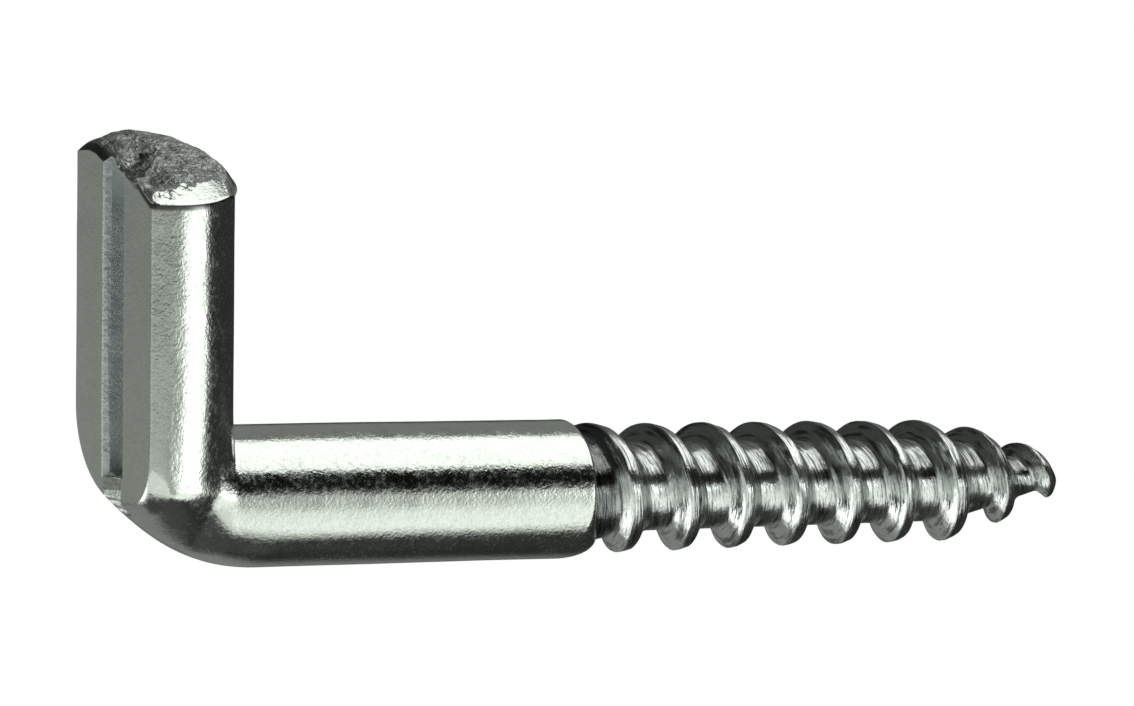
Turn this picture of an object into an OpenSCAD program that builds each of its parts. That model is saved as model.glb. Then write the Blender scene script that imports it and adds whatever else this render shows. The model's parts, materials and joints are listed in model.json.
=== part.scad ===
/* [Wire] */
// Diameter of the round wire that the hook is made from
wire_d = 5.8; // [5.2:0.1:6.6]

/* [Leg] */
// Distance from the leg's axis to the start of the thread
leg_to_thread = 19.8; // [16:0.2:30]
// Height of the middle of the leg's end above the axis of the shank
leg_rise = 13.35; // [10:0.25:24]
// Greatest width of the flattened leg, across the hook
leg_w = 7.24; // [6.2:0.02:7.6]
// Distance from the leg's axis to its widest place, towards the flat
widest_at = 1; // [0.4:0.1:1.4]
// Squareness of the leg's section: 2 is an ellipse
leg_square = 2.2; // [2:0.1:2.6]
// Distance of the coined flat from the leg's axis
flat_offset = 2; // [1.7:0.1:2.6]
// Radius of the two long edges of the flat
flat_edge_r = 0.15; // [0.05:0.05:0.4]
// Slope of the sheared end, in degrees
end_slope = 22.8; // [0:0.2:30]
// Height of the crown in the middle of the sheared end
end_crown = 0.5; // [0.1:0.05:1]
// Drop of the rolled rim around the sheared end
end_rim = 0.15; // [0.1:0.05:0.8]
// Drop of the far corner, where the shears pulled the metal down
corner_drop = 0.75; // [0.1:0.05:1.2]
// Distance over which that corner rounds off
corner_reach = 2.1; // [1:0.1:4]

/* [Bend] */
// Outer radius of the bend
bend_outer_r = 8.8; // [7:0.2:10]
// Distance from the leg's axis to where the outer bend meets the shank
bend_run = 4.35; // [4:0.05:5]
// Height above the shank's axis at which the leg starts to narrow to the wire
neck_top = 1.1; // [0.6:0.1:2]
// Length over which the leg narrows to the wire
neck_len = 3.2; // [2:0.1:4]
// Size of the soft crease where the leg runs into the shank
crease = 0.6; // [0.2:0.1:1]
// Sideways shift of the crown that the coining left on the bend
crown_shift = 1.1; // [0:0.1:1.4]
// Squareness of the section under the crown: 2 is round
crown_square = 2.5; // [2:0.1:3]

/* [Driver slot] */
// Width of the slot between its walls
slot_w = 1.7; // [1:0.1:2.4]
// Depth of the slot below the flat
slot_depth = 1; // [0.5:0.1:1.5]
// Width of the chamfer along the slot's edges
slot_chamfer = 0.2; // [0.05:0.05:0.4]
// Height of the slot's lower end above the axis of the shank
slot_end = 0.85; // [0.5:0.05:3]
// Length of the shallow run-out below the slot's end
runout_len = 1.9; // [1:0.1:2.4]
// Depth of the run-out, which follows the curve of the bend
runout_depth = 0.5; // [0.3:0.05:0.7]

/* [Thread] */
// Length of the threaded end, from the shank to the tip
thread_len = 23.3; // [16:0.1:40]
// Pitch of the right-hand wood thread
pitch = 2.66; // [2:0.02:3.4]
// Height of the thread's crest below the surface of the wire
crest_drop = 0.16; // [0.05:0.01:0.3]
// Depth of the thread
thread_depth = 0.86; // [0.6:0.02:1.1]
// Width of the flat on the thread's crest
crest_w = 0.65; // [0.4:0.05:0.8]
// Width of the flat between two turns
root_w = 0.65; // [0.3:0.05:0.8]
// Rounding of the crest's leading edge
crest_round = 0.1; // [0.05:0.01:0.2]
// Loss of radius from the first full turn to the taper
thread_draft = 0.1; // [0:0.02:0.25]
// Length of the taper at the tip
taper_len = 5.8; // [4:0.2:9]
// Diameter over the thread at the tip
tip_d = 2; // [1.6:0.1:3]
// Diameter of the core at the tip
tip_core_d = 0.5; // [0.4:0.1:1.2]
// Length of the rounded shoulder at the end of the shank
shoulder_len = 1.35; // [0.8:0.05:1.6]
// Drop of the rounded shoulder
shoulder_drop = 0.65; // [0.4:0.05:0.8]

/* [Hidden] */

wire_r = wire_d / 2;
join_step = 0.02;                      // the bend ends this much inside the shank
join_run = 0.3;                        // over this length it steps in,
join_lap = 0.6;                        // and it reaches this far into the shank
leg_x = -leg_to_thread;                // the leg's axis, with the thread starting at 0
flat_x = leg_x - flat_offset;          // the coined flat
join_x = leg_x + bend_run + join_run;  // where the exact shank starts
shoulder_foot = 0.1;                   // the shoulder ends this far past the first crest
shoulder_lap = 0.4;                    // and starts this far inside the shank

// ---- bend and leg: every point is on the surface |y - shift| = half_width ----
arc_x = leg_x + bend_run;              // centre of the outer bend
arc_z = bend_outer_r - wire_r;
pivot_gap = 0.9;                       // the fan of sections turns about a point this far
pivot_x = leg_x + wire_r + pivot_gap;  // outside the hook's inner corner
pivot_z = wire_r + pivot_gap;
thin_edge = 0.1;                       // half width of the narrow strip on inner and outer lines
side_steps = 19;                       // points along each side of a section
fan_steps = 30;                        // sections through the bend, an even number
tail_steps = 4;                        // sections from the bend to the shank
cap_rings = [0.94, 0.72, 0.48, 0.24];  // rings of the sheared end, as shares of its outline
shift_fade = 1.5;                      // the crown's shift dies out this fast below the skin,
shift_reach = 1.6;                     // and this many wire radii up the leg

function clamp01(t) = min(1, max(0, t));
function smooth(t) = let (c = clamp01(t)) c * c * (3 - 2 * c);

// Depth under the outer arc, as a share of the wire: 0 on the arc, 1 on the inner line
function arc_depth(x, z) =
    clamp01((bend_outer_r - norm([x - arc_x, z - arc_z])) / wire_d);
// Half width of the flattened leg, less the rounding along the flat's edges
function edge_cut(d) = d < flat_edge_r
    ? flat_edge_r - sqrt(max(0, flat_edge_r ^ 2 - (flat_edge_r - d) ^ 2)) : 0;
function leg_half(x) =
    let (u = x - leg_x, t = abs(u + widest_at) / (wire_r + widest_at))
    u > wire_r ? wire_r - u
        : leg_w / 2 * pow(max(0, 1 - pow(t, leg_square)), 1 / leg_square) - edge_cut(x - flat_x);
// The leg narrows to the wire's own width as it enters the bend
function neck(z) = smooth((z - neck_top + neck_len) / neck_len);
function shank_half(z) = z > wire_r ? wire_r - z : sqrt(max(0, wire_r ^ 2 - z ^ 2));
// The larger of two widths, eased over the size of the crease
function eased_max(a, b) = max(a, b) + max(0, crease - abs(a - b)) ^ 2 / (4 * crease);
function crown_half(x, z) =
    let (s = abs(1 - 2 * min(0.5, arc_depth(x, z))))
    leg_w / 2 * pow(max(0, 1 - pow(s, crown_square)), 1 / crown_square);
function half_width(x, z) =
    let (side = eased_max(leg_half(x) * neck(z), shank_half(z)))
    max(thin_edge, z > wire_r ? side : min(side, crown_half(x, z)));
function side_shift(x, z) =
    -crown_shift * pow(1 - 2 * min(0.5, arc_depth(x, z)), shift_fade)
    * smooth((leg_x + wire_r - x) / wire_d * shift_reach)
    * smooth((wire_r * shift_reach - z) / wire_r);

// A section starts at an inner point and runs a length in a direction to the outer line
function ray_to_arc(px, pz, dx, dz) =
    let (ox = px - arc_x, oz = pz - arc_z, b = ox * dx + oz * dz,
         c = ox ^ 2 + oz ^ 2 - bend_outer_r ^ 2)
    -b + sqrt(max(0, b ^ 2 - c));
function fan_section(a) =
    let (dx = -cos(a), dz = -sin(a),
         near = min(dx < -0.001 ? pivot_gap / -dx : 1000, dz < -0.001 ? pivot_gap / -dz : 1000),
         to_flat = dx < -0.001 ? (pivot_x - flat_x) / -dx : 1000,
         to_arc = ray_to_arc(pivot_x, pivot_z, dx, dz))
    [pivot_x + near * dx, pivot_z + near * dz, dx, dz, min(to_flat, to_arc) - near];
function tail_section(x) =
    let (t = x < arc_x ? ray_to_arc(x, wire_r, 0, -1) : wire_d)
    [x, wire_r, 0, -1, t];
function section_points(s) = concat(
    [for (j = [0:side_steps])
        let (t = (1 - cos(180 * j / side_steps)) / 2 * s[4],
             x = s[0] + t * s[2], z = s[1] + t * s[3])
        [x, side_shift(x, z) + half_width(x, z), z]],
    [for (j = [side_steps:-1:0])
        let (t = (1 - cos(180 * j / side_steps)) / 2 * s[4],
             x = s[0] + t * s[2], z = s[1] + t * s[3])
        [x, side_shift(x, z) - half_width(x, z), z]]);
// A round ring just inside the shank, with the same number of points as a section
function shank_ring(x) = [for (p = section_points(tail_section(arc_x)))
    [x, p[1] * (1 - join_step / wire_r), p[2] * (1 - join_step / wire_r)]];

// ---- the sheared end ----
end_mid = [leg_x + (wire_r - flat_offset) / 2, 0];
function end_height(x, y, share) =
    leg_rise + tan(end_slope) * y + end_crown * (1 - share ^ 2)
    - corner_drop * clamp01(1 - norm([x - flat_x, y - leg_w / 2]) / corner_reach) ^ 1.5;
leg_section = [leg_x + wire_r, pivot_z, -1, 0, wire_r + flat_offset];
leg_outline = section_points(leg_section);
rim_ring = [for (p = leg_outline) [p[0], p[1], end_height(p[0], p[1], 1) - end_rim]];
function cap_ring(k) = [for (p = leg_outline)
    let (x = end_mid[0] + (p[0] - end_mid[0]) * k, y = p[1] * k) [x, y, end_height(x, y, k)]];

leg_rings = concat(
    [for (i = [len(cap_rings) - 1:-1:0]) cap_ring(cap_rings[i])],
    [rim_ring],
    [for (i = [0:fan_steps]) section_points(fan_section(90 * i / fan_steps))],
    [for (i = [1:tail_steps])
        section_points(tail_section(pivot_x + (arc_x - pivot_x) * i / tail_steps))],
    [shank_ring(arc_x + join_run / 2), shank_ring(join_x + join_lap)]);
ring_n = len(leg_outline);

// ---- thread: a profile wound along the helix ----
turn_steps = 40;
flank_share = 0.45;                    // the leading flank's share of the two flanks
lead_run = (pitch - crest_w - root_w) * flank_share;
trail_run = (pitch - crest_w - root_w) - lead_run;
crest_at_x = root_w + lead_run;        // where the crest starts in the profile
fillet_at = 0.34;                      // the root's fillet ends at this share of the flank
fillet_h = 0.16;                       // and at this share of the depth
profile = [[0, 0], [root_w, 0],
    [root_w + lead_run * fillet_at, fillet_h],
    [root_w + lead_run * (1 + fillet_at) / 2, (1 + fillet_h) / 2],
    [crest_at_x, 1 - crest_round],
    [crest_at_x + crest_w / 3, 1],
    [crest_at_x + crest_w, 1],
    [crest_at_x + crest_w + trail_run * (1 - fillet_at) / 2, (1 + fillet_h) / 2],
    [crest_at_x + crest_w + trail_run * (1 - fillet_at), fillet_h]];
prof_n = len(profile);
start_x = -crest_at_x - pitch;         // the first crest passes the top of the wire at 0
fade_turn = 0.3;                       // the crest dies out over this part of the last turn
last_crest = 0.55;                     // and stops this far before the tip
thread_turns = (thread_len - last_crest) / pitch + 1;
thread_n = round(thread_turns * turn_steps);
run_in = 2;                            // the groove reaches its depth over this length
run_in_rise = 0.37;                    // and starts this much shallower
crest_r = wire_r - crest_drop;
taper_x = thread_len - taper_len;

function crest_at(x) = x < taper_x
    ? crest_r - thread_draft * clamp01(x / taper_x)
    : crest_r - thread_draft
        - (crest_r - thread_draft - tip_d / 2) * clamp01((x - taper_x) / taper_len);
function root_at(x) = x < taper_x
    ? crest_at(x) - thread_depth + run_in_rise * clamp01(1 - max(0, x) / run_in)
    : crest_r - thread_draft - thread_depth
        - (crest_r - thread_draft - thread_depth - tip_core_d / 2)
        * clamp01((x - taper_x) / taper_len);
function fade(i) = clamp01((thread_n - i) / (fade_turn * turn_steps));
function thread_point(i, k) =
    let (wrap = k == prof_n ? 1 : 0, p = profile[k - wrap * prof_n],
         x = start_x + pitch * (i / turn_steps + wrap) + p[0],
         r = root_at(x) + (crest_at(x) - root_at(x)) * p[1] * sqrt(fade(i)),
         a = 360 * i / turn_steps)
    [x, -r * sin(a), r * cos(a)];
// Rows run along the helix; the last row of one turn is the first row of the next
thread_rows = thread_n + 1;
thread_points = concat(
    [for (i = [0:thread_n], k = [0:prof_n - 1]) thread_point(i, k)],
    [for (i = [thread_n - turn_steps + 1:thread_n]) thread_point(i, prof_n)],
    [[start_x - 0.5, 0, 0], [start_x + pitch * (thread_turns + 1), 0, 0]]);
tail_first = thread_rows * prof_n;
start_pole = tail_first + turn_steps;
end_pole = start_pole + 1;
function thread_index(i, k) = k < prof_n ? i * prof_n + k
    : i + turn_steps <= thread_n ? (i + turn_steps) * prof_n
    : tail_first + i - (thread_n - turn_steps + 1);
end_loop = concat(
    [for (i = [thread_n - turn_steps:thread_n]) thread_index(i, prof_n)],
    [for (k = [prof_n - 1:-1:1]) thread_index(thread_n, k)]);
start_loop = concat(
    [for (i = [0:turn_steps]) thread_index(i, 0)],
    [for (k = [prof_n - 1:-1:1]) thread_index(0, k)]);

module thread_helix() {
    polyhedron(points = thread_points, faces = concat(
        [for (i = [0:thread_n - 1], k = [0:prof_n - 1]) each [
            [thread_index(i, k), thread_index(i, k + 1), thread_index(i + 1, k)],
            [thread_index(i + 1, k), thread_index(i, k + 1), thread_index(i + 1, k + 1)]]],
        [for (j = [0:len(end_loop) - 1])
            [end_loop[(j + 1) % len(end_loop)], end_loop[j], end_pole]],
        [for (j = [0:len(start_loop) - 1])
            [start_loop[j], start_loop[(j + 1) % len(start_loop)], start_pole]]));
}

module leg_and_bend() {
    rows = len(leg_rings);
    top_pole = rows * ring_n;
    polyhedron(points = concat([for (r = leg_rings) each r],
            [[end_mid[0], 0, end_height(end_mid[0], 0, 0)], [join_x + join_lap, 0, 0]]),
        faces = concat(
            [for (i = [0:rows - 2], j = [0:ring_n - 1])
                let (n = (j + 1) % ring_n, a = i * ring_n, b = a + ring_n)
                each j < ring_n / 2
                    ? [[a + j, a + n, b + j], [b + j, a + n, b + n]]
                    : [[a + j, a + n, b + n], [a + j, b + n, b + j]]],
            [for (j = [0:ring_n - 1]) [(j + 1) % ring_n, j, top_pole]],
            [for (j = [0:ring_n - 1])
                [(rows - 1) * ring_n + j, (rows - 1) * ring_n + (j + 1) % ring_n, top_pole + 1]]));
}

module plain_shank() {
    translate([join_x, 0, 0]) rotate([0, 90, 0])
        cylinder(h = shoulder_foot - shoulder_len - join_x, r = wire_r, $fn = 96);
}

module shoulder() {
    shoulder_steps = 5;
    back = -shoulder_len - shoulder_lap;
    translate([shoulder_foot, 0, 0]) rotate([0, 90, 0]) rotate_extrude($fn = 96) polygon(concat(
        [[0, 0], [0, back], [wire_r - shoulder_lap, back]],
        [for (i = [0:shoulder_steps]) let (a = 90 * i / shoulder_steps)
            [wire_r - shoulder_drop * (1 - cos(a)), -shoulder_len * (1 - sin(a))]]));
}

module driver_slot() {
    reach = 3;
    top = leg_rise + leg_w;
    foot = slot_end - runout_len;
    steep = 0.3;                       // height of the step from the slot's floor
    ledge = 0.1;                       // depth at which the run-out starts
    rotate([90, 0, 0]) linear_extrude(slot_w, center = true) polygon([
        [flat_x - reach, top], [flat_x + slot_depth, top],
        [flat_x + slot_depth, slot_end + steep], [flat_x + ledge, slot_end],
        [flat_x + runout_depth, foot], [flat_x - reach, foot]]);
    translate([0, 0, slot_end]) linear_extrude(top - slot_end) polygon([
        [flat_x - reach, slot_w / 2 + slot_chamfer + reach],
        [flat_x - reach, -slot_w / 2 - slot_chamfer - reach],
        [flat_x + slot_chamfer, -slot_w / 2], [flat_x + slot_chamfer, slot_w / 2]]);
}

module thread() {
    difference() {
        thread_helix();
        translate([thread_len, -wire_r, -wire_r])
            cube([2 * pitch, wire_d, wire_d]);
    }
}

module screw_hook() {
    color("silver") {
        difference() {
            leg_and_bend();
            driver_slot();
        }
        plain_shank();
        shoulder();
        thread();
    }
}

screw_hook();
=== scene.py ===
import bisect
import json
import math
import bmesh
import bpy
from mathutils import Matrix, Vector, noise

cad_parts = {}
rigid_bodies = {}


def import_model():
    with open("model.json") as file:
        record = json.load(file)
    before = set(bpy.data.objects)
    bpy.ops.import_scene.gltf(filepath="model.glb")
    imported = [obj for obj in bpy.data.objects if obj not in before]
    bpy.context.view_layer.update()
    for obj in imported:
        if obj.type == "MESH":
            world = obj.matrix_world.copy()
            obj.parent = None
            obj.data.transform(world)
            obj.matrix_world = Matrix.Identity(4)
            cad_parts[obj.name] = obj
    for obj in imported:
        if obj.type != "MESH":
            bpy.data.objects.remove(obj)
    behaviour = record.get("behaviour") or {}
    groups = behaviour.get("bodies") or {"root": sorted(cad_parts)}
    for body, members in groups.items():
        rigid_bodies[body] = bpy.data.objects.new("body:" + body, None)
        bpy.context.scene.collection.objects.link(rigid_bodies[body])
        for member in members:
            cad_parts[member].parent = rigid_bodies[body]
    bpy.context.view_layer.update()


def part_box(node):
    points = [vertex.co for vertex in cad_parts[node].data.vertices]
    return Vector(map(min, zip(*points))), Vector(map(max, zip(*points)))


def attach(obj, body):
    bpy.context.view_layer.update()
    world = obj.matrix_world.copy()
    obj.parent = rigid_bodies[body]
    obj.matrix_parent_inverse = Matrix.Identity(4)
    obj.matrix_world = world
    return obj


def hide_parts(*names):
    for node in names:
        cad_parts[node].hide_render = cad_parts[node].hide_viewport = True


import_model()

low, high = (corner * 1000 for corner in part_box("screw_hook"))
# everything is modelled in millimetres and scaled to metres at the end


def nothingSelected():
    if bpy.context.object and bpy.context.object.mode != "OBJECT":
        bpy.ops.object.mode_set(mode="OBJECT")
    bpy.ops.object.select_all(action="DESELECT")


def only(piece):
    nothingSelected()
    piece.select_set(True)
    bpy.context.view_layer.objects.active = piece


def clamp(t, least=0.0, most=1.0):
    return min(most, max(least, t))


def smooth(t):
    t = clamp(t)
    return t * t * (3 - 2 * t)


def mix(a, b, t):
    return a + (b - a) * t


# ---- wire body: leg, bend, shank, shoulder ----
wire = {
    "radius": -low.z,
    "sidePoints": 56,        # along each side of a section
    "flatPoints": 11,        # across the flat
    "wobble": 0.02,          # hand of the bending, in mm
}
leg = {
    "flatOffset": 2.0,       # coined flat to the leg's axis
    "halfWidth": high.y,
    "widestAt": 0.97,         # widest place, from the axis towards the flat
    "squareness": 2.23,
    "edgeRadius": 0.15,
    "rise": 13.35,           # middle of the sheared end above the shank's axis
    "endSlope": 22.8,
    "cornerDrop": 0.85,
    "cornerReach": 2.3,
    "rings": 26,
}
bend = {
    "outerRadius": 8.8,
    "run": 4.35,             # leg's axis to where the outer bend meets the shank
    "crownFrom": 0.27,       # the sides turn down to the outer line from this height
    "edgeFrom": 2.5,         # and this much higher, but slowly, beside the flat
    "edgePower": 3.2,
    "farFrom": 3.7,          # the far side turns much earlier
    "crownPower": 1.35,
    "crownShift": 1.1,
    "fadeOver": 1.3,
    "footTurn": 0.07,        # the near side turns a little away from the flat at its foot
    "pivotGap": 0.9,
    "rings": 72,
}
wireR = wire["radius"]
wireD = 2 * wireR
flatX = low.x
legX = flatX + leg["flatOffset"]
arcX = legX + bend["run"]
arcZ = bend["outerRadius"] - wireR
pivotX = legX + wireR + bend["pivotGap"]
pivotZ = wireR + bend["pivotGap"]


def legHalf(x):
    u = x - legX
    if u > wireR:
        return 0
    t = abs(u + leg["widestAt"]) / (wireR + leg["widestAt"])
    power = leg["squareness"]
    half = leg["halfWidth"] * max(0, 1 - t ** power) ** (1 / power)
    edge = leg["edgeRadius"]
    d = max(0, x - flatX)
    if d < edge:
        half -= edge - math.sqrt(max(0, edge ** 2 - (edge - d) ** 2))
    return half


def easedMax(a, b, width):
    return max(a, b) + max(0, width - abs(a - b)) ** 2 / (4 * width)


def lowestAt(x):
    # the bend's outer line below x
    if x >= arcX:
        return -wireR
    return arcZ - math.sqrt(max(0, bend["outerRadius"] ** 2 - (x - arcX) ** 2))


def straightHalf(x, z):
    # the pressed leg runs straight down over the round wire
    side = legHalf(x)
    round = math.sqrt(max(0, wireR ** 2 - z ** 2))
    u = x - legX
    if u > 0.7:
        # fuller on the inside of the bend
        fuller = min(3.35 - 0.46 * (u - 0.7), 2.4 - 1.76 * (u - 2.3))
        fuller *= math.sqrt(max(0, 1 - max(0, (u - 2.5) / (wireR - 2.5)) ** 2))
        side = mix(side, max(side, fuller), smooth((pivotZ - z) / 2.8))
    side *= 1 - bend["footTurn"] * smooth((4.4 - z) / 4.4) * clamp((x - flatX) / (wireR + leg["flatOffset"]))
    return max(0, easedMax(side, round, 0.02 + 0.5 * smooth((side + round - 3) / 3)))


def sideAt(x, z, side):
    # distance of the surface from the wire's mid plane, on the given side
    u = x - legX
    fade = 1 - smooth((u - 0.9) / bend["fadeOver"])
    if side < 0:
        edge = smooth((-1.0 - u) / 0.7)
        start = fade * (bend["crownFrom"] + bend["edgeFrom"] * edge)
        power = mix(2, mix(bend["crownPower"], bend["edgePower"], edge), fade)
    else:
        start = bend["farFrom"] * smooth((1.5 - u) / 3.5)
        power = 2
    if z >= start:
        return side * max(0.03, straightHalf(x, max(0, z)))
    share = clamp((start - z) / (start - lowestAt(x)))
    lean = -side * bend["crownShift"] * (1 - smooth((u + 1) / 4))
    top = straightHalf(x, start)
    return side * (lean + max(0.03, (top - lean) * (1 - share ** power) ** (1 / power)))


def toArc(x, z, dx, dz):
    ox, oz = x - arcX, z - arcZ
    b = ox * dx + oz * dz
    return -b + math.sqrt(max(0, b * b - ox * ox - oz * oz + bend["outerRadius"] ** 2))


def section(x, z, dx, dz, length):
    # one closed ring: up the far side, across the outer line, back along the near side
    n = wire["sidePoints"]
    def at(t, side):
        px, pz = x + t * dx, z + t * dz
        return Vector((px, sideAt(px, pz, side), pz))
    steps = [(1 - math.cos(math.pi * j / (n - 1))) / 2 * length for j in range(n)]
    far = [at(t, 1) for t in steps]
    near = [at(t, -1) for t in reversed(steps)]
    across = [far[-1].lerp(near[0], k / (wire["flatPoints"] + 1))
              for k in range(1, wire["flatPoints"] + 1)]
    return far + across + near


def nearEdge(dx, dz):
    gap = bend["pivotGap"]
    return min(gap / -dx if dx < -0.001 else 1000, gap / -dz if dz < -0.001 else 1000)


def fanSection(turn):
    dx, dz = -math.cos(turn), -math.sin(turn)
    near = nearEdge(dx, dz)
    toFlat = (pivotX - flatX) / -dx if dx < -0.001 else 1000
    length = min(toFlat, toArc(pivotX, pivotZ, dx, dz)) - near
    return section(pivotX + near * dx, pivotZ + near * dz, dx, dz, length)


def tailSection(x):
    return section(x, wireR, 0, -1, toArc(x, wireR, 0, -1) if x < arcX else wireD)


# the sheared end: a torn middle with a sunk tongue over the slot, a lip beside it,
# and a burnished facet along the near rim
shearedEnd = {
    "crown": 0.48,
    "facetSlope": 0.5,       # extra fall of the burnished facet towards the rim
    "facetEnd": 1.75,        # from the leg's axis
    "rimDrop": 0.06,
    "rollOver": 0.17,        # the other rims are pulled down
    "rollReach": 0.8,
    "tear": 0.05,            # height of the torn grain
    "tongueDepth": 0.30,
    "dragged": 0.16,
    "streak": 0.03,
    "lip": 0.15,
    "rings": 50,
}
endMid = Vector((legX + (wireR - leg["flatOffset"]) / 2, 0, 0))
endSlope = math.tan(math.radians(leg["endSlope"]))
lipFrom, lipTo = Vector((-1.35, -1.3)), Vector((0.1, -0.2))
tongueBack = 0.37
streakAlong = Vector((0.217, -0.976))


def sideOf(p, a, b):
    # signed distance from the line a-b, positive on its right
    d = (b - a).normalized()
    return (p.x - a.x) * d.y - (p.y - a.y) * d.x


def torn(q):
    return noise.fractal(q * 1.5, 0.75, 2.2, 5) + 0.5 * abs(noise.noise(q * 4.3))


def endHeight(x, y, share, rimGap):
    p = Vector((x - legX, y))
    q = Vector((x, y, 0))
    plane = leg["rise"] + endSlope * y
    crown = mix(1 - share ** 6, 1 - share ** 2.5, smooth((y + 1.5) / 3))
    # nearly flat beside the lip, where the flat's edge also stands higher
    lipSide = smooth((-0.2 - y) / 1.0) * smooth((y + 3.3) / 0.9)
    z = plane + shearedEnd["crown"] * crown * (1 - 0.72 * lipSide * smooth((-0.4 - p.x) / 1.1))
    inside = smooth(rimGap / 0.35)
    z += shearedEnd["tear"] * inside * torn(q)
    # beyond the tongue the metal is dragged down towards it
    z -= shearedEnd["dragged"] * smooth((2.3 - y) / 1.5) * smooth((0.3 - p.x) / 0.8) \
        * smooth(0.3 - sideOf(p, lipFrom, lipTo) / 0.3)
    z += 0.27 * share ** 6 * smooth((y + 3.3) / 1.2) * smooth((-0.6 - y) / 0.6) * smooth((-1.0 - p.x) / 0.8)
    # the tongue lies lower than the rest, streaked by the blade
    fromLip = sideOf(p, lipFrom, lipTo)
    alongLip = (p - lipFrom).dot((lipTo - lipFrom).normalized())
    onTongue = smooth(-fromLip / 0.07) * smooth((tongueBack - y) / 0.11) * smooth((-0.15 - p.x) / 1.1)
    across = p.x * -streakAlong.y + p.y * streakAlong.x + 0.04 * noise.noise(q * 2.2)
    z -= shearedEnd["tongueDepth"] * onTongue * (1 - 0.6 * smooth((-0.4 - y) / 0.5))
    blade = math.sin(across * 44) + 0.7 * math.sin(across * 83 + 1)
    z += shearedEnd["streak"] * onTongue * smooth((0.2 - y) / 0.3) * blade
    onLip = smooth((alongLip + 0.1) / 0.2) * smooth((1.85 - alongLip) / 0.4)
    z += shearedEnd["lip"] * onLip * math.exp(-((fromLip - 0.04) / 0.075) ** 2)
    z += 0.07 * math.exp(-(p - Vector((0.1, 0.35))).length_squared / 0.012)
    # burnished facet, chattered at its flat end
    fromRim = y + legHalf(x)
    facet = plane + shearedEnd["facetSlope"] * fromRim + 3 * max(0, p.x - shearedEnd["facetEnd"])
    facet += 0.05 * smooth((-0.2 - p.x) / 0.9) * inside * torn(q * 2.3) + 0.006 * noise.noise(q * 2.5)
    z = min(z, facet)
    # rolled over elsewhere, most at the corner beyond the slot
    rolled = max(smooth((y + 0.6) / 1.2), smooth((p.x - shearedEnd["facetEnd"]) / 0.5))
    z -= shearedEnd["rollOver"] * rolled * clamp(1 - rimGap / shearedEnd["rollReach"]) ** 2
    corner = math.hypot(x - flatX, y - leg["halfWidth"])
    z -= leg["cornerDrop"] * clamp(1 - corner / leg["cornerReach"]) ** 1.5
    return z


legOutline = section(legX + wireR, pivotZ, -1, 0, wireR + leg["flatOffset"])
outlineTurns = sorted((math.atan2(p.y, p.x - endMid.x), math.hypot(p.x - endMid.x, p.y))
                      for p in legOutline)


def outlineRadius(turn):
    before, after = outlineTurns[-1], outlineTurns[0]
    place = bisect.bisect(outlineTurns, (turn, 0))
    if 0 < place < len(outlineTurns):
        before, after = outlineTurns[place - 1], outlineTurns[place]
        return mix(before[1], after[1], clamp((turn - before[0]) / max(1e-6, after[0] - before[0])))
    return (before[1] + after[1]) / 2


def settleEnd(v):
    # puts a point of the sheared end at its height
    reach = math.hypot(v.x - endMid.x, v.y)
    full = outlineRadius(math.atan2(v.y, v.x - endMid.x))
    v.z = endHeight(v.x, v.y, min(1, reach / full), max(0, full - reach))


def endRing(share):
    ring = []
    for p in legOutline:
        x, y = mix(endMid.x, p.x, share), p.y * share
        gap = (1 - share) * math.hypot(p.x - endMid.x, p.y)
        ring.append(Vector((x, y, endHeight(x, y, share, gap))))
    return ring


def rimRing(out, drop):
    # the edge under the rim, pushed out or in by a little
    ring = []
    for p in legOutline:
        away = Vector((p.x - endMid.x, p.y)).normalized() * out * smooth((p.x - flatX) / 0.3)
        away *= 1 + 0.6 * noise.noise(p * 1.1)
        x, y = p.x + away.x, p.y + away.y
        ring.append(Vector((x, y, endHeight(p.x, p.y, 1, 0) - shearedEnd["rimDrop"] - drop)))
    return ring


def legRings():
    ends = [endRing(mix(0.03, 0.985, k / shearedEnd["rings"]))
            for k in range(shearedEnd["rings"] + 1)]
    # a small lip over an undercut, then the plain side
    rims = [rimRing(out, drop) for out, drop in
            ((0.015, -0.05), (0.05, -0.01), (0.07, 0.02), (0.0, 0.17), (0.0, 0.3), (0.0, 0.5))]
    top = rimRing(0.0, 0.9)
    foot = fanSection(0)
    legs = [[a.lerp(b, k / leg["rings"]) for a, b in zip(top, foot)]
            for k in range(leg["rings"])]
    return ends + rims + legs


# ---- shoulder: the shank's end runs down into the first groove, later on the under side ----
shoulder = {
    "nearEnd": -0.9,
    "lowEnd": 0.25,
    "farEnd": 0.9,
    "nearLength": 0.35,
    "lowLength": 1.8,
    "drop": 0.72,
}


def shoulderRadius(x, turn):
    # turn is 0 on top, a quarter on the near side, a half underneath
    t = turn % 1.0
    end = shoulder["nearEnd"] + (shoulder["lowEnd"] - shoulder["nearEnd"]) * smooth((t - 0.24) / 0.28) \
        + (shoulder["farEnd"] - shoulder["lowEnd"]) * smooth((t - 0.5) / 0.35)
    end = mix(end, shoulder["nearEnd"] - 0.15, smooth((t - 0.93) / 0.07))
    length = mix(shoulder["nearLength"], shoulder["lowLength"], smooth((t - 0.25) / 0.25))
    s = clamp((x - end + length) / length)
    beyond = 0.5 * smooth((x - end - 0.02) / 0.12)      # sunk into the thread's core
    return wireR - shoulder["drop"] * (1 - math.sqrt(max(0, 1 - s * s))) - beyond


def roundRing(x, radius):
    # the same number of points as a section, matched to where the bend's points lie
    ring = []
    for p in tailSection(arcX):
        turn = math.atan2(-p.y, p.z) / (2 * math.pi)
        r = radius(x, turn)
        d = Vector((0, p.y, p.z)).normalized() * r
        ring.append(Vector((x, d.y, d.z)))
    return ring


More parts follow.
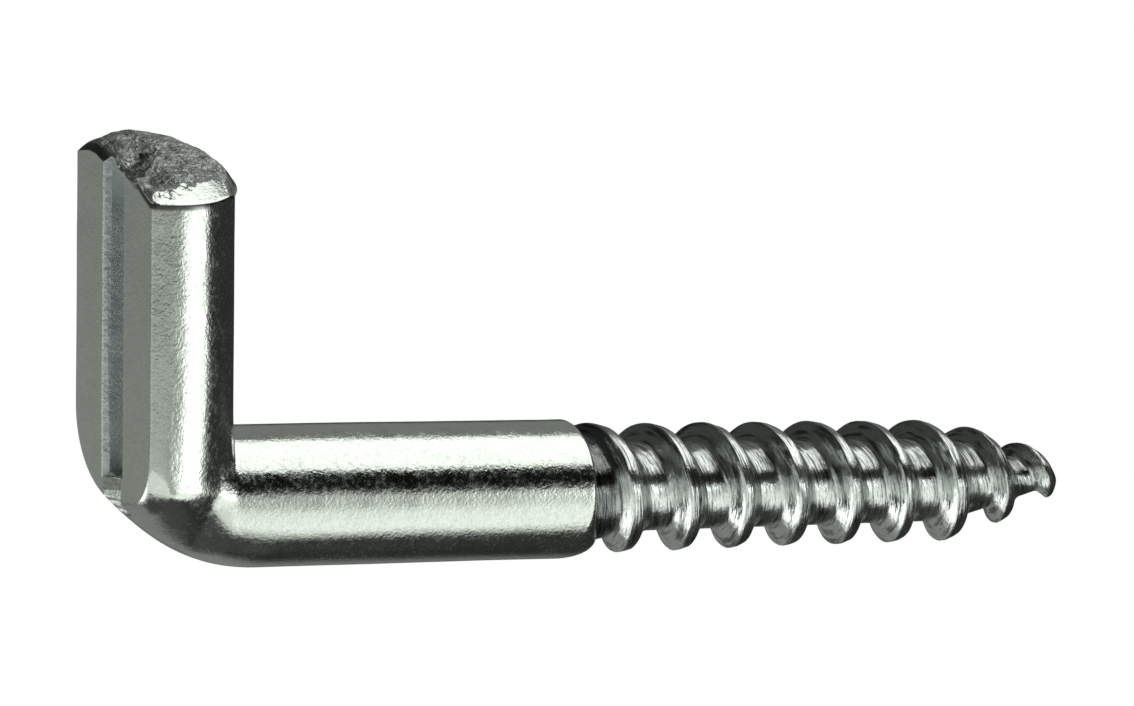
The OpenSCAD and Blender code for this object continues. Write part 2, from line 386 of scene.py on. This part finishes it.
def bodyRings():
    rings = legRings()
    rings += [fanSection(math.pi / 2 * k / bend["rings"]) for k in range(bend["rings"] + 1)]
    rings += [tailSection(mix(pivotX, arcX, k / 8)) for k in range(1, 8)]
    x = arcX
    while x < -2.8:
        rings.append(roundRing(x, lambda *a: wireR))
        x += 0.4
    x = -2.6
    while x < 1.25:
        rings.append(roundRing(x, shoulderRadius))
        x += 0.07
    rings.append(roundRing(x, lambda *a: 0.9))
    for ring in rings:
        for p in ring:
            if p.z < leg["rise"] - 2.5:
                p += noise.noise_vector(p * 0.22) * wire["wobble"]
    return rings


# ---- a tool for both pieces: a circle laid on the first ring and extruded from ring to ring ----
def loft(name, rings, closed=True):
    nothingSelected()
    count = len(rings[0])
    bpy.ops.mesh.primitive_circle_add(vertices=count, radius=1)
    piece = bpy.context.object
    piece.name = name
    piece.data.uv_layers[0].name = "helix"
    bpy.ops.object.mode_set(mode="EDIT")
    mesh = bmesh.from_edit_mesh(piece.data)
    place = mesh.verts.layers.int.new("place")
    step = mesh.verts.layers.int.new("step")
    mesh.verts.ensure_lookup_table()
    for k in range(count):
        mesh.verts[k][place] = k
        mesh.verts[k].co = rings[0][k]
    if not closed:
        ends = {0, count - 1}
        for edge in mesh.edges:
            edge.select_set({v[place] for v in edge.verts} == ends)
        bmesh.update_edit_mesh(piece.data)
        bpy.ops.mesh.delete(type="EDGE")
        bpy.ops.mesh.select_all(action="SELECT")
    for number, ring in enumerate(rings[1:], 1):
        bpy.ops.mesh.extrude_edges_indiv()
        mesh = bmesh.from_edit_mesh(piece.data)
        mesh.verts.ensure_lookup_table()
        for v in mesh.verts[-count:]:
            v.co = ring[v[place]]
            v[step] = number
    bmesh.update_edit_mesh(piece.data)
    return piece


def closeEnds():
    # caps on both open ends, then faces outwards
    bpy.ops.mesh.select_all(action="DESELECT")
    bpy.ops.mesh.select_mode(type="EDGE")
    bpy.ops.mesh.select_non_manifold(extend=False, use_wire=False, use_multi_face=False,
                                     use_non_contiguous=False, use_verts=False)
    bpy.ops.mesh.edge_face_add()
    bpy.ops.mesh.select_mode(type="VERT")
    bpy.ops.mesh.select_all(action="SELECT")
    bpy.ops.mesh.normals_make_consistent(inside=False)
    bpy.ops.object.mode_set(mode="OBJECT")


def recessAt(v, number):
    # how deep in shade a point is: under the near rim, in the pocket behind the tongue,
    # in the notch beside the lip and along the far corner
    p = Vector((v.x - legX, v.y))
    if number > shearedEnd["rings"]:
        row = number - shearedEnd["rings"]
        dark = (0, 0, 0, 1, 0.9, 0, 0, 0)[row] if row < 8 else 0
        thick = smooth((0.6 - p.x) / 1.2) if row > 3 else 1
        return dark * thick * smooth((-1.7 - v.y) / 0.2)
    wide = 0.07 + 0.13 * smooth((p.x + 1.0) / 0.5)
    pocket = math.exp(-((v.y - 0.3) / wide) ** 2) * smooth((p.x + 1.8) / 0.3) * smooth((-0.2 - p.x) / 0.2)
    notch = math.exp(-(p - lipFrom - Vector((-0.05, -0.05))).length_squared / 0.018)
    corner = smooth((-1.55 - p.x) / 0.3) * smooth((v.y - 0.5) / 0.2)
    return clamp(max(pocket * (0.5 + 0.5 * smooth((p.x + 1.1) / 0.5)), notch, 0.75 * corner))


def refineEnd():
    # twice as many points on the sheared end, each put at its height
    mesh = bmesh.from_edit_mesh(body.data)
    step = mesh.verts.layers.int["step"]
    for face in mesh.faces:
        face.select_set(False)
    for face in mesh.faces:
        if all(v[step] < shearedEnd["rings"] for v in face.verts) and len(face.verts) < 5:
            face.select_set(True)
    bmesh.update_edit_mesh(body.data)
    bpy.ops.mesh.subdivide(number_cuts=1)
    mesh = bmesh.from_edit_mesh(body.data)
    step = mesh.verts.layers.int["step"]
    for v in mesh.verts:
        if v.select:
            settleEnd(v.co)
    # the first UV coordinate carries the painted shade of the recesses
    shade = mesh.loops.layers.uv["helix"]
    for face in mesh.faces:
        for corner in face.loops:
            v = corner.vert
            near = v[step] < shearedEnd["rings"] + 8
            corner[shade].uv = (recessAt(v.co, 0 if v.select else v[step]) if near else 0, 0)
    bmesh.update_edit_mesh(body.data)


body = loft("hookBody", bodyRings())
bpy.ops.mesh.select_mode(type="FACE")
refineEnd()
bpy.ops.mesh.select_mode(type="VERT")
closeEnds()
print("wire body:", len(body.data.vertices), "points")

# ---- thread ----
thread = {
    "pitch": 2.66,
    "crestDrop": 0.19,       # crest below the wire's surface
    "depth": 0.86,
    "crestFrom": 0.02,       # where the first crest passes the top
    "crestWidth": 0.56,
    "rootWidth": 0.85,
    "leadShare": 0.4,        # leading flank's share of the two flanks
    "draft": 0.1,
    "taper": 5.8,
    "tipDiameter": 2.0,
    "tipCore": 0.5,
    "turnSteps": 90,
    "stretch": 0.2,          # the rolled turns run this far ahead, and twice as far near the tip
    "wander": 0.03,          # unevenness of the rolled ridge
    "nicks": 0.02,
}
tipX = high.x
pitch = thread["pitch"]
flanks = pitch - thread["crestWidth"] - thread["rootWidth"]
leadRun = flanks * thread["leadShare"]
trailRun = flanks - leadRun
crestAt = thread["rootWidth"] + leadRun
crestR = wireR - thread["crestDrop"]
taperX = tipX - thread["taper"]


def threadProfile():
    # places along one pitch and heights from root (0) to crest (1)
    points = [(0, 0), (thread["rootWidth"] * 0.35, 0), (thread["rootWidth"] * 0.7, 0)]
    for s, h in ((0, 0.0), (0.16, 0.05), (0.34, 0.17), (0.55, 0.42), (0.78, 0.71)):
        points.append((thread["rootWidth"] + leadRun * s, h))
    w = thread["crestWidth"]
    # the crest falls a little towards the trailing edge
    points += [(crestAt - 0.02, 0.955), (crestAt + 0.03, 0.995), (crestAt + w * 0.3, 0.985),
               (crestAt + w * 0.65, 0.93), (crestAt + w - 0.03, 0.87), (crestAt + w + 0.02, 0.82)]
    for s, h in ((0.22, 0.6), (0.48, 0.31), (0.72, 0.11), (0.88, 0.03)):
        points.append((crestAt + w + trailRun * s, h))
    return points + [(pitch, 0)]


def crestRadius(x):
    if x < taperX:
        return crestR - thread["draft"] * clamp(x / taperX)
    full = crestR - thread["draft"]
    return full - (full - thread["tipDiameter"] / 2) * clamp((x - taperX) / thread["taper"])


def rootRadius(x):
    if x < taperX:
        return crestRadius(x) - thread["depth"] + 0.37 * clamp(1 - max(0, x) / 2)
    full = crestR - thread["draft"] - thread["depth"]
    return full - (full - thread["tipCore"] / 2) * clamp((x - taperX) / thread["taper"])


def threadRings():
    profile = threadProfile()
    startX = thread["crestFrom"] - crestAt - 2 * pitch
    turns = (tipX - 0.55 - startX - crestAt) / pitch
    count = round((turns + 1.1) * thread["turnSteps"])      # a bare turn more closes the core
    rings = []
    for i in range(count + 1):
        turn = i / thread["turnSteps"]
        fade = clamp((turns - turn) / 0.3)
        ring = []
        for px, h in profile:
            x = startX + pitch * turn + px
            wander = noise.noise(Vector((turn * 2.3, px * 0.9, 4.2))) * thread["wander"] * h
            inside = smooth(px / 0.3) * smooth((pitch - px) / 0.3)
            wander += noise.noise(Vector((turn * 17, px * 5, 1.2))) * thread["nicks"] * (0.3 + h) * inside
            r = mix(rootRadius(x), crestRadius(x), h * math.sqrt(fade)) + wander
            a = 2 * math.pi * turn
            ahead = thread["stretch"] * (smooth(x / 4) + smooth((x - 16.5) / 3))
            ring.append(Vector((x + ahead, -r * math.sin(a), r * math.cos(a))))
        rings.append(ring)
    return rings, profile


rings, profile = threadRings()
threadPiece = loft("hookThread", rings, closed=False)

# pattern coordinates that follow the helix: across the ridge, and along it
mesh = bmesh.from_edit_mesh(threadPiece.data)
place, step = mesh.verts.layers.int["place"], mesh.verts.layers.int["step"]
helix = mesh.loops.layers.uv["helix"]
for face in mesh.faces:
    for corner in face.loops:
        corner[helix].uv = (profile[corner.vert[place]][0],
                            corner.vert[step] / thread["turnSteps"] * 2 * math.pi * wireR)
bmesh.update_edit_mesh(threadPiece.data)
bpy.ops.mesh.select_all(action="SELECT")
bpy.ops.mesh.remove_doubles(threshold=0.0005)
for at, outer in ((-1.9, False), (tipX - 0.36, True)):
    bpy.ops.mesh.select_all(action="SELECT")
    bpy.ops.mesh.bisect(plane_co=(at, 0, 0), plane_no=(1, 0, 0), use_fill=True,
                        clear_inner=not outer, clear_outer=outer)
bpy.ops.mesh.select_all(action="SELECT")
bpy.ops.mesh.normals_make_consistent(inside=False)
bpy.ops.object.mode_set(mode="OBJECT")
print("thread:", len(threadPiece.data.vertices), "points")

# ---- driver slot: one cutter for the slot and its run-out, one for the chamfers ----
slot = {
    "width": 1.7,
    "depth": 1.0,
    "chamfer": 0.15,
    "wedge": 0.32,            # the walls open a little over this depth
    "end": 0.85,             # foot of the slot above the shank's axis
    "runOut": 1.45,
    "runOutDepth": 0.42,
    "ripples": 12,
    "ripple": 0.006,
    "tilt": 0.06,            # the ripples lie a little aslant
    "cant": 0.3,            # the run-out is deeper on its near side
}


def extrudeTo(piece, pick, move):
    # extrudes the picked faces and puts the new points where move says
    bpy.ops.mesh.select_all(action="DESELECT")
    mesh = bmesh.from_edit_mesh(piece.data)
    for face in [face for face in mesh.faces if pick(face)]:
        face.select_set(True)
    bmesh.update_edit_mesh(piece.data)
    bpy.ops.mesh.extrude_region_move()
    mesh = bmesh.from_edit_mesh(piece.data)
    for v in mesh.verts:
        if v.select:
            v.co = move(v.co)
    bmesh.update_edit_mesh(piece.data)


def slotCutter():
    reach = 3.0
    base = slot["end"] + 0.3
    top = leg["rise"] - 1.2
    nothingSelected()
    bpy.ops.mesh.primitive_cube_add(size=1, location=(flatX + (slot["depth"] - reach) / 2, 0, (base + top) / 2),
                                    scale=(slot["depth"] + reach, slot["width"], top - base))
    cutter = bpy.context.object
    cutter.name = "slotCutter"
    bpy.ops.object.transform_apply(location=True, rotation=True, scale=True)
    bpy.ops.object.mode_set(mode="EDIT")
    bpy.ops.mesh.select_all(action="DESELECT")
    # downwards: the step at the slot's foot, then the rippled run-out
    steps = [(slot["end"], 0.1)]
    for k in range(1, slot["ripples"] + 1):
        share = k / slot["ripples"]
        bump = slot["ripple"] * (1 if k % 2 else -1)
        steps.append((slot["end"] - slot["runOut"] * share, mix(0.1, slot["runOutDepth"], share) + bump))
    for z, depth in steps:
        lowest = min(v.co.z for v in cutter.data.vertices) if z == slot["end"] else lastZ
        extrudeTo(cutter, lambda f: f.normal.z < -0.5 and abs(f.calc_center_median().z - lowest) < 0.05,
                  lambda c: Vector((flatX + depth + 0.05 - slot["cant"] * c.y if c.x > flatX - 1 else c.x,
                                    c.y, z + slot["tilt"] * (1 if c.y > 0 else -1))))
        lastZ = z
    # upwards: the torn tongue bridges the slot's head
    for lift, nearDepth, farDepth in ((-0.62, 1.0, 1.0), (-0.42, 0.1, 0.22), (2.5, 0.06, 0.18)):
        extrudeTo(cutter, lambda f: f.normal.z > 0.5 and f.calc_center_median().z > top - 0.01,
                  lambda c: Vector((flatX + (nearDepth if c.y < 0 else farDepth) if c.x > flatX - 1 else c.x,
                                    c.y, leg["rise"] + endSlope * c.y + lift)))
    bpy.ops.object.mode_set(mode="OBJECT")
    return cutter


def chamferCutter(depth, spread):
    # a wedge along the slot, depth mm deep, its sides opening by spread per mm
    reach = 3.0
    height = leg["rise"] + 4 - slot["end"]
    nothingSelected()
    bpy.ops.mesh.primitive_cube_add(size=1, location=(flatX + (depth - reach) / 2, 0, slot["end"] + height / 2),
                                    scale=(depth + reach, slot["width"], height))
    cutter = bpy.context.object
    cutter.name = "chamferCutter"
    bpy.ops.object.transform_apply(location=True, rotation=True, scale=True)
    bpy.ops.object.mode_set(mode="EDIT")
    mesh = bmesh.from_edit_mesh(cutter.data)
    for v in mesh.verts:
        v.select_set(v.co.x < flatX)
    mesh.select_flush(True)
    bmesh.update_edit_mesh(cutter.data)
    widen = (slot["width"] + 2 * spread * (depth + reach)) / slot["width"]
    bpy.ops.transform.resize(value=(1, widen, 1), center_override=(flatX, 0, 0))
    bpy.ops.object.mode_set(mode="OBJECT")
    return cutter


def cutOrJoin(piece, other, operation):
    only(piece)
    change = piece.modifiers.new(operation.lower(), "BOOLEAN")
    change.operation = operation
    change.solver = "EXACT"
    change.object = other
    bpy.ops.object.modifier_apply(modifier=change.name)
    only(other)
    bpy.ops.object.delete()
    only(piece)


# ---- materials ----
finish = {
    "zinc": (0.61, 0.66, 0.60),
    "bluish": (0.60, 0.645, 0.61),
    "rolled": (0.68, 0.725, 0.69),
    "roughness": 0.10,
    "dull": 0.14,            # extra roughness of the dull spots
    "grain": 0.008,          # depth of the fine grain, in mm
    "peel": 0.008,           # depth of the coarser unevenness
    "wave": 0.020,           # depth of the long waves
    "drawn": 0.036,          # depth of the lines along the thread
}


def link(tree, a, out, b, into):
    tree.links.new(a.outputs[out], b.inputs[into])


def noiseNode(tree, vector, scale, detail=2.0, rough=0.5):
    node = tree.nodes.new("ShaderNodeTexNoise")
    node.inputs["Scale"].default_value = scale
    node.inputs["Detail"].default_value = detail
    node.inputs["Roughness"].default_value = rough
    tree.links.new(vector, node.inputs["Vector"])
    return node


def rangeNode(tree, value, low, high, toLow, toHigh):
    node = tree.nodes.new("ShaderNodeMapRange")
    node.inputs["From Min"].default_value = low
    node.inputs["From Max"].default_value = high
    node.inputs["To Min"].default_value = toLow
    node.inputs["To Max"].default_value = toHigh
    tree.links.new(value, node.inputs["Value"])
    return node


def bumpNode(tree, height, distance, before=None):
    node = tree.nodes.new("ShaderNodeBump")
    node.inputs["Strength"].default_value = 1.0
    node.inputs["Distance"].default_value = distance
    tree.links.new(height, node.inputs["Height"])
    if before:
        tree.links.new(before.outputs["Normal"], node.inputs["Normal"])
    return node


def metal(name, colour, roughness, spread):
    material = bpy.data.materials.new(name)
    material.use_nodes = True
    tree = material.node_tree
    shader = tree.nodes["Principled BSDF"]
    shader.inputs["Metallic"].default_value = 1.0
    where = tree.nodes.new("ShaderNodeTexCoord")
    place = where.outputs["Object"]
    cloud = noiseNode(tree, place, 900, 3)
    tone = tree.nodes.new("ShaderNodeMix")
    tone.data_type = "RGBA"
    tone.inputs[6].default_value = tuple(c * 0.88 for c in colour) + (1,)
    tone.inputs[7].default_value = tuple(min(1, c * 1.09) for c in colour) + (1,)
    speck = noiseNode(tree, place, 9000, 2)
    both = tree.nodes.new("ShaderNodeMath")
    both.operation = "MULTIPLY_ADD"
    both.inputs[1].default_value = 1.6
    tree.links.new(speck.outputs["Fac"], both.inputs[0])
    shade = tree.nodes.new("ShaderNodeMath")
    shade.operation = "SUBTRACT"
    shade.inputs[1].default_value = 0.8
    tree.links.new(cloud.outputs["Fac"], shade.inputs[0])
    tree.links.new(shade.outputs["Value"], both.inputs[2])
    tree.links.new(both.outputs["Value"], tone.inputs[0])
    tree.links.new(tone.outputs[2], shader.inputs["Base Color"])
    gloss = rangeNode(tree, cloud.outputs["Fac"], 0.3, 0.7, roughness, roughness + spread)
    tree.links.new(gloss.outputs["Result"], shader.inputs["Roughness"])
    return material, tree, shader, where


def darken(tree, shader, share):
    # multiplies the metal's colour
    darker = tree.nodes.new("ShaderNodeMix")
    darker.data_type = "RGBA"
    darker.blend_type = "MULTIPLY"
    darker.inputs[0].default_value = 1
    tree.links.new(shader.inputs["Base Color"].links[0].from_socket, darker.inputs[6])
    tree.links.new(share.outputs["Result"], darker.inputs[7])
    tree.links.new(darker.outputs[2], shader.inputs["Base Color"])


def paintedRecessShade(tree, shader, where):
    # painted shade: nearly black in the recesses of the sheared end, as deep as the shade amount in the first
    # UV coordinate
    recess = tree.nodes.new("ShaderNodeSeparateXYZ")
    tree.links.new(where.outputs["UV"], recess.inputs["Vector"])
    shaded = tree.nodes.new("ShaderNodeMix")
    shaded.data_type = "RGBA"
    shaded.inputs[7].default_value = (0.03, 0.03, 0.03, 1)
    colour = shader.inputs["Base Color"].links[0].from_socket
    tree.links.new(recess.outputs["X"], shaded.inputs[0])
    tree.links.new(colour, shaded.inputs[6])
    tree.links.new(shaded.outputs[2], shader.inputs["Base Color"])


def zincPlate():
    material, tree, shader, where = metal("zincPlate", finish["zinc"], finish["roughness"], 0.08)
    # painted shade in the recesses, under the near rim, behind the tongue and beside the lip
    paintedRecessShade(tree, shader, where)
    place = where.outputs["Object"]
    wave = bumpNode(tree, noiseNode(tree, place, 500, 1).outputs["Fac"], finish["wave"] * 0.001)
    peel = bumpNode(tree, noiseNode(tree, place, 2600, 3, 0.6).outputs["Fac"], finish["peel"] * 0.001, wave)
    grain = bumpNode(tree, noiseNode(tree, place, 8000, 2).outputs["Fac"], finish["grain"] * 0.001, peel)
    tree.links.new(grain.outputs["Normal"], shader.inputs["Normal"])
    # duller spots in the plating
    spots = noiseNode(tree, place, 4200, 3, 0.7)
    dull = rangeNode(tree, spots.outputs["Fac"], 0.48, 0.66, 0, finish["dull"])
    gloss = tree.nodes.new("ShaderNodeMath")
    gloss.operation = "ADD"
    tree.links.new(shader.inputs["Roughness"].links[0].from_socket, gloss.inputs[0])
    tree.links.new(dull.outputs["Result"], gloss.inputs[1])
    tree.links.new(gloss.outputs["Value"], shader.inputs["Roughness"])
    return material


def rolledThread():
    material, tree, shader, where = metal("rolledThread", finish["rolled"], 0.13, 0.12)
    # fine lines run along the helix
    stretch = tree.nodes.new("ShaderNodeMapping")
    stretch.inputs["Scale"].default_value = (8.0, 0.4, 1)
    tree.links.new(where.outputs["UV"], stretch.inputs["Vector"])
    lines = noiseNode(tree, stretch.outputs["Vector"], 1.0, 3, 0.65)
    drawn = bumpNode(tree, lines.outputs["Fac"], finish["drawn"] * 0.001)
    peel = bumpNode(tree, noiseNode(tree, where.outputs["Object"], 3000, 3, 0.6).outputs["Fac"],
                    finish["peel"] * 0.002, drawn)
    # and leave darker streaks
    darken(tree, shader, rangeNode(tree, lines.outputs["Fac"], 0.38, 0.5, 0.28, 1))
    # painted shade: the thread is darkened next to the shoulder, in the first groove
    split = tree.nodes.new("ShaderNodeSeparateXYZ")
    tree.links.new(where.outputs["Object"], split.inputs["Vector"])
    darken(tree, shader, rangeNode(tree, split.outputs["X"], 0.0001, 0.0007, 0.3, 1))
    tree.links.new(peel.outputs["Normal"], shader.inputs["Normal"])
    return material


def tornSteel():
    material, tree, shader, where = metal("tornSteel", finish["bluish"], 0.24, 0.2)
    # painted shade in the recesses of the torn end
    paintedRecessShade(tree, shader, where)
    place = where.outputs["Object"]
    rough = bumpNode(tree, noiseNode(tree, place, 1300, 5, 0.62).outputs["Fac"], 3.6e-4)
    grain = bumpNode(tree, noiseNode(tree, place, 9000, 2).outputs["Fac"], 4e-5, rough)
    # grey scale left in the hollows
    hollows = noiseNode(tree, place, 2300, 3, 0.6)
    darken(tree, shader, rangeNode(tree, hollows.outputs["Fac"], 0.36, 0.52, 0.45, 1))
    tree.links.new(grain.outputs["Normal"], shader.inputs["Normal"])
    return material


def slotWall():
    material, tree, shader, where = metal("slotWall", (0.66, 0.71, 0.70), 0.34, 0.15)
    place = where.outputs["Object"]
    peel = bumpNode(tree, noiseNode(tree, place, 3000, 3, 0.6).outputs["Fac"], 4e-5)
    tree.links.new(peel.outputs["Normal"], shader.inputs["Normal"])
    return material


finishes = [zincPlate(), rolledThread(), tornSteel(), slotWall()]


def paint(piece, number):
    for material in finishes:
        piece.data.materials.append(material)
    for face in piece.data.polygons:
        face.material_index = number


def paintEnd(piece):
    # the torn part of the sheared end, without the burnished facet and the rim
    for face in piece.data.polygons:
        c = face.center
        if face.normal.z < 0.3 or c.z < leg["rise"] - 3:
            continue
        burnished = c.y + legHalf(c.x) < 0.75 + 0.25 * smooth((c.x - legX + 1.2) / 1.2) \
            and -1.9 < c.x - legX < shearedEnd["facetEnd"]
        gap = outlineRadius(math.atan2(c.y, c.x - endMid.x)) - math.hypot(c.x - endMid.x, c.y)
        tongue = c.x - legX < -1.2 and -3.2 < c.y < 0.9
        if (gap > 0.35 or tongue) and not burnished:
            face.material_index = 2


paint(body, 0)
paintEnd(body)
paint(threadPiece, 1)
for cutter, number in ((slotCutter(), 3), (chamferCutter(slot["chamfer"], 1.0), 0),
                       (chamferCutter(slot["wedge"], 0.35), 3)):
    paint(cutter, number)
    for face in cutter.data.polygons:
        if face.center.z < slot["end"] and face.normal.x > 0.5:
            face.material_index = 0
    cutOrJoin(body, cutter, "DIFFERENCE")
print("slot cut:", len(body.data.polygons), "faces")
cutOrJoin(body, threadPiece, "UNION")
print("thread joined:", len(body.data.polygons), "faces")

# to metres, smooth, and onto the frame
only(body)
body.scale = (0.001, 0.001, 0.001)
bpy.ops.object.transform_apply(location=True, rotation=True, scale=True)
bpy.ops.object.shade_smooth_by_angle(angle=math.radians(33))
for leftover in ("place", "step"):
    if leftover in body.data.attributes:
        body.data.attributes.remove(body.data.attributes[leftover])
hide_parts("screw_hook")
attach(body, "root")

# ---- stage ----
stage = {
    "floorDepth": 0.040,     # floor below the shank's axis
    "floorSize": 1.2,
    "floorColour": 0.8,
    "skyLight": 0.5,
}


def direction(azimuth, elevation):
    # azimuth turns from the front towards the thread's tip
    a, e = math.radians(azimuth), math.radians(elevation)
    return Vector((math.sin(a) * math.cos(e), -math.cos(a) * math.cos(e), math.sin(e)))


def stageFloor():
    nothingSelected()
    bpy.ops.mesh.primitive_circle_add(vertices=64, radius=stage["floorSize"], fill_type="NGON",
                                      location=(0, 0, -stage["floorDepth"]))
    floor = bpy.context.object
    floor.name = "paleFloor"
    material = bpy.data.materials.new("paleFloor")
    material.use_nodes = True
    tree = material.node_tree
    shader = tree.nodes["Principled BSDF"]
    grey = stage["floorColour"]
    shader.inputs["Base Color"].default_value = (grey, grey, grey, 1)
    shader.inputs["Roughness"].default_value = 0.9
    shader.inputs["Specular IOR Level"].default_value = 0.0
    # the floor fades out towards its edge
    where = tree.nodes.new("ShaderNodeTexCoord")
    length = tree.nodes.new("ShaderNodeVectorMath")
    length.operation = "LENGTH"
    tree.links.new(where.outputs["Object"], length.inputs[0])
    fade = rangeNode(tree, length.outputs["Value"], 0.10, 0.24, 0.0, 1.0)
    fade.interpolation_type = "SMOOTHSTEP"
    clear = tree.nodes.new("ShaderNodeBsdfTransparent")
    blend = tree.nodes.new("ShaderNodeMixShader")
    path = tree.nodes.new("ShaderNodeLightPath")
    onlyCamera = tree.nodes.new("ShaderNodeMath")
    onlyCamera.operation = "MULTIPLY"
    tree.links.new(fade.outputs["Result"], onlyCamera.inputs[0])
    tree.links.new(path.outputs["Is Camera Ray"], onlyCamera.inputs[1])
    tree.links.new(onlyCamera.outputs["Value"], blend.inputs["Fac"])
    tree.links.new(shader.outputs["BSDF"], blend.inputs[1])
    tree.links.new(clear.outputs["BSDF"], blend.inputs[2])
    tree.links.new(blend.outputs["Shader"], tree.nodes["Material Output"].inputs["Surface"])
    floor.data.materials.append(material)
    floor.visible_glossy = False     # the metal sees the tent's table instead


tent = {
    "radius": 2.0,
    "upper": 0.055,           # grey of the tent above the horizon
    "zenith": 0.22,
    # each panel: azimuth from and to, elevation from and to, brightness, softness in degrees
    "panels": {
        "back": (-200, -95, -14, 5, 0.32, 9),
        "left": (-95, -30, -14, 3, 0.70, 8),
        "front": (-42, 34, -14, 2, 0.60, 3),
        "frontTable": (-128, 57, -60, -17, 1.0, 8),
        "farRight": (50, 88, -12, 2, 0.60, 5),
        "frontRight": (30.5, 59, -50, 2, 1.4, 3.5),
        "seam": (23, 27, -14, 8, 0.32, 2),
        "backTable": (-140, -86, -48, -24, 2.1, 7),
        "right": (61, 160, -90, 34, 0.035, 6),
        "frontPost": (0, 60, 6, 34, 0.004, 4),
        "lowBack": (146, 214, -62, -15, 0.27, 10),
        "under": (-200, 200, -100, -64, 0.075, 6),
        "upperBack": (114, 168, 18, 66, 0.24, 8),
    },
}


def softStep(value, edge, softness):
    return smooth((value - edge) / (2 * softness) + 0.5)


def tentGlow(azimuth, elevation):
    glow = mix(tent["upper"], tent["zenith"], smooth((elevation - 50) / 35))
    for start, end, lowest, highest, brightness, softness in tent["panels"].values():
        share = 0
        for a in (azimuth, azimuth - 360, azimuth + 360):
            share = max(share, softStep(a, start, softness) * (1 - softStep(a, end, softness)))
        share *= softStep(elevation, lowest, softness) * (1 - softStep(elevation, highest, softness))
        glow = mix(glow, brightness, share)
    return glow


def studioTent():
    # grey walls and table around the hook, which only its metal sees
    nothingSelected()
    bpy.ops.mesh.primitive_uv_sphere_add(segments=180, ring_count=90, radius=tent["radius"])
    piece = bpy.context.object
    piece.name = "studioTent"
    glows = piece.data.attributes.new("glow", "FLOAT", "POINT")
    for vertex, value in zip(piece.data.vertices, glows.data):
        d = vertex.co.normalized()
        azimuth = math.degrees(math.atan2(d.x, -d.y))
        value.value = tentGlow(azimuth, math.degrees(math.asin(clamp(d.z, -1, 1))))
    material = bpy.data.materials.new("studioTent")
    material.use_nodes = True
    material.cycles.emission_sampling = "NONE"
    tree = material.node_tree
    tree.nodes.remove(tree.nodes["Principled BSDF"])
    painted = tree.nodes.new("ShaderNodeAttribute")
    painted.attribute_name = "glow"
    light = tree.nodes.new("ShaderNodeEmission")
    light.inputs["Color"].default_value = (0.98, 1.0, 0.97, 1)
    tree.links.new(painted.outputs["Fac"], light.inputs["Strength"])
    tree.links.new(light.outputs["Emission"], tree.nodes["Material Output"].inputs["Surface"])
    piece.data.materials.append(material)
    piece.visible_camera = piece.visible_diffuse = piece.visible_shadow = False


def softbox(name, centre, facing, turn, width, height, radiance):
    # a rectangular lamp at centre, facing down its own axis, turned about it
    data = bpy.data.lights.new(name, "AREA")
    data.shape = "RECTANGLE"
    data.size, data.size_y = width, height
    data.energy = radiance * math.pi * width * height
    lamp = bpy.data.objects.new(name, data)
    bpy.context.scene.collection.objects.link(lamp)
    lamp.rotation_mode = "QUATERNION"
    back = -Vector(facing).normalized()
    turned = back.to_track_quat("Z", "Y")
    lamp.rotation_quaternion = Matrix.Rotation(math.radians(turn), 3, back).to_quaternion() @ turned
    lamp.location = centre
    lamp.visible_camera = False
    return lamp


def studioSky():
    world = bpy.data.worlds.new("studioSky")
    bpy.context.scene.world = world
    world.use_nodes = True
    world.cycles.sampling_method = "NONE"
    tree = world.node_tree
    background = tree.nodes["Background"]
    background.inputs["Color"].default_value = (1, 1, 1, 1)
    path = tree.nodes.new("ShaderNodeLightPath")
    seen = tree.nodes.new("ShaderNodeMath")
    seen.operation = "MAXIMUM"
    tree.links.new(path.outputs["Is Camera Ray"], seen.inputs[0])
    tree.links.new(path.outputs["Is Glossy Ray"], seen.inputs[1])
    strength = rangeNode(tree, seen.outputs["Value"], 0, 1, stage["skyLight"], 1.0)
    tree.links.new(strength.outputs["Result"], background.inputs["Strength"])


studioSky()
stageFloor()
studioTent()
softbox("topSoftbox", (0.59, -0.16, 0.5), (0, 0, -1), 13.9, 0.85, 0.69, 1.6)
softbox("rightSoftbox", direction(45.5, -1) * 0.9, -direction(45.5, -1), 0, 0.36, 0.2, 1.5)

# ---- camera ----
view = {
    "aim": (-0.005454, -0.007929, 0.005948),
    "azimuth": -29.614,
    "elevation": 1.893,
    "roll": 0.507,
    "distance": 0.2405,
    "lens": 190.476,
}


def mainCamera():
    data = bpy.data.cameras.new("mainCamera")
    data.lens = view["lens"]
    data.sensor_width = 36
    data.clip_start = 0.01
    camera = bpy.data.objects.new("mainCamera", data)
    bpy.context.scene.collection.objects.link(camera)
    away = direction(view["azimuth"], view["elevation"])
    camera.rotation_mode = "QUATERNION"
    level = (-away).to_track_quat("-Z", "Y")
    camera.rotation_quaternion = Matrix.Rotation(math.radians(view["roll"]), 3, away).to_quaternion() @ level
    camera.location = Vector(view["aim"]) + away * view["distance"]
    bpy.context.scene.camera = camera


mainCamera()
bpy.context.scene.view_settings.view_transform = "Standard"

print("stage and camera ready")
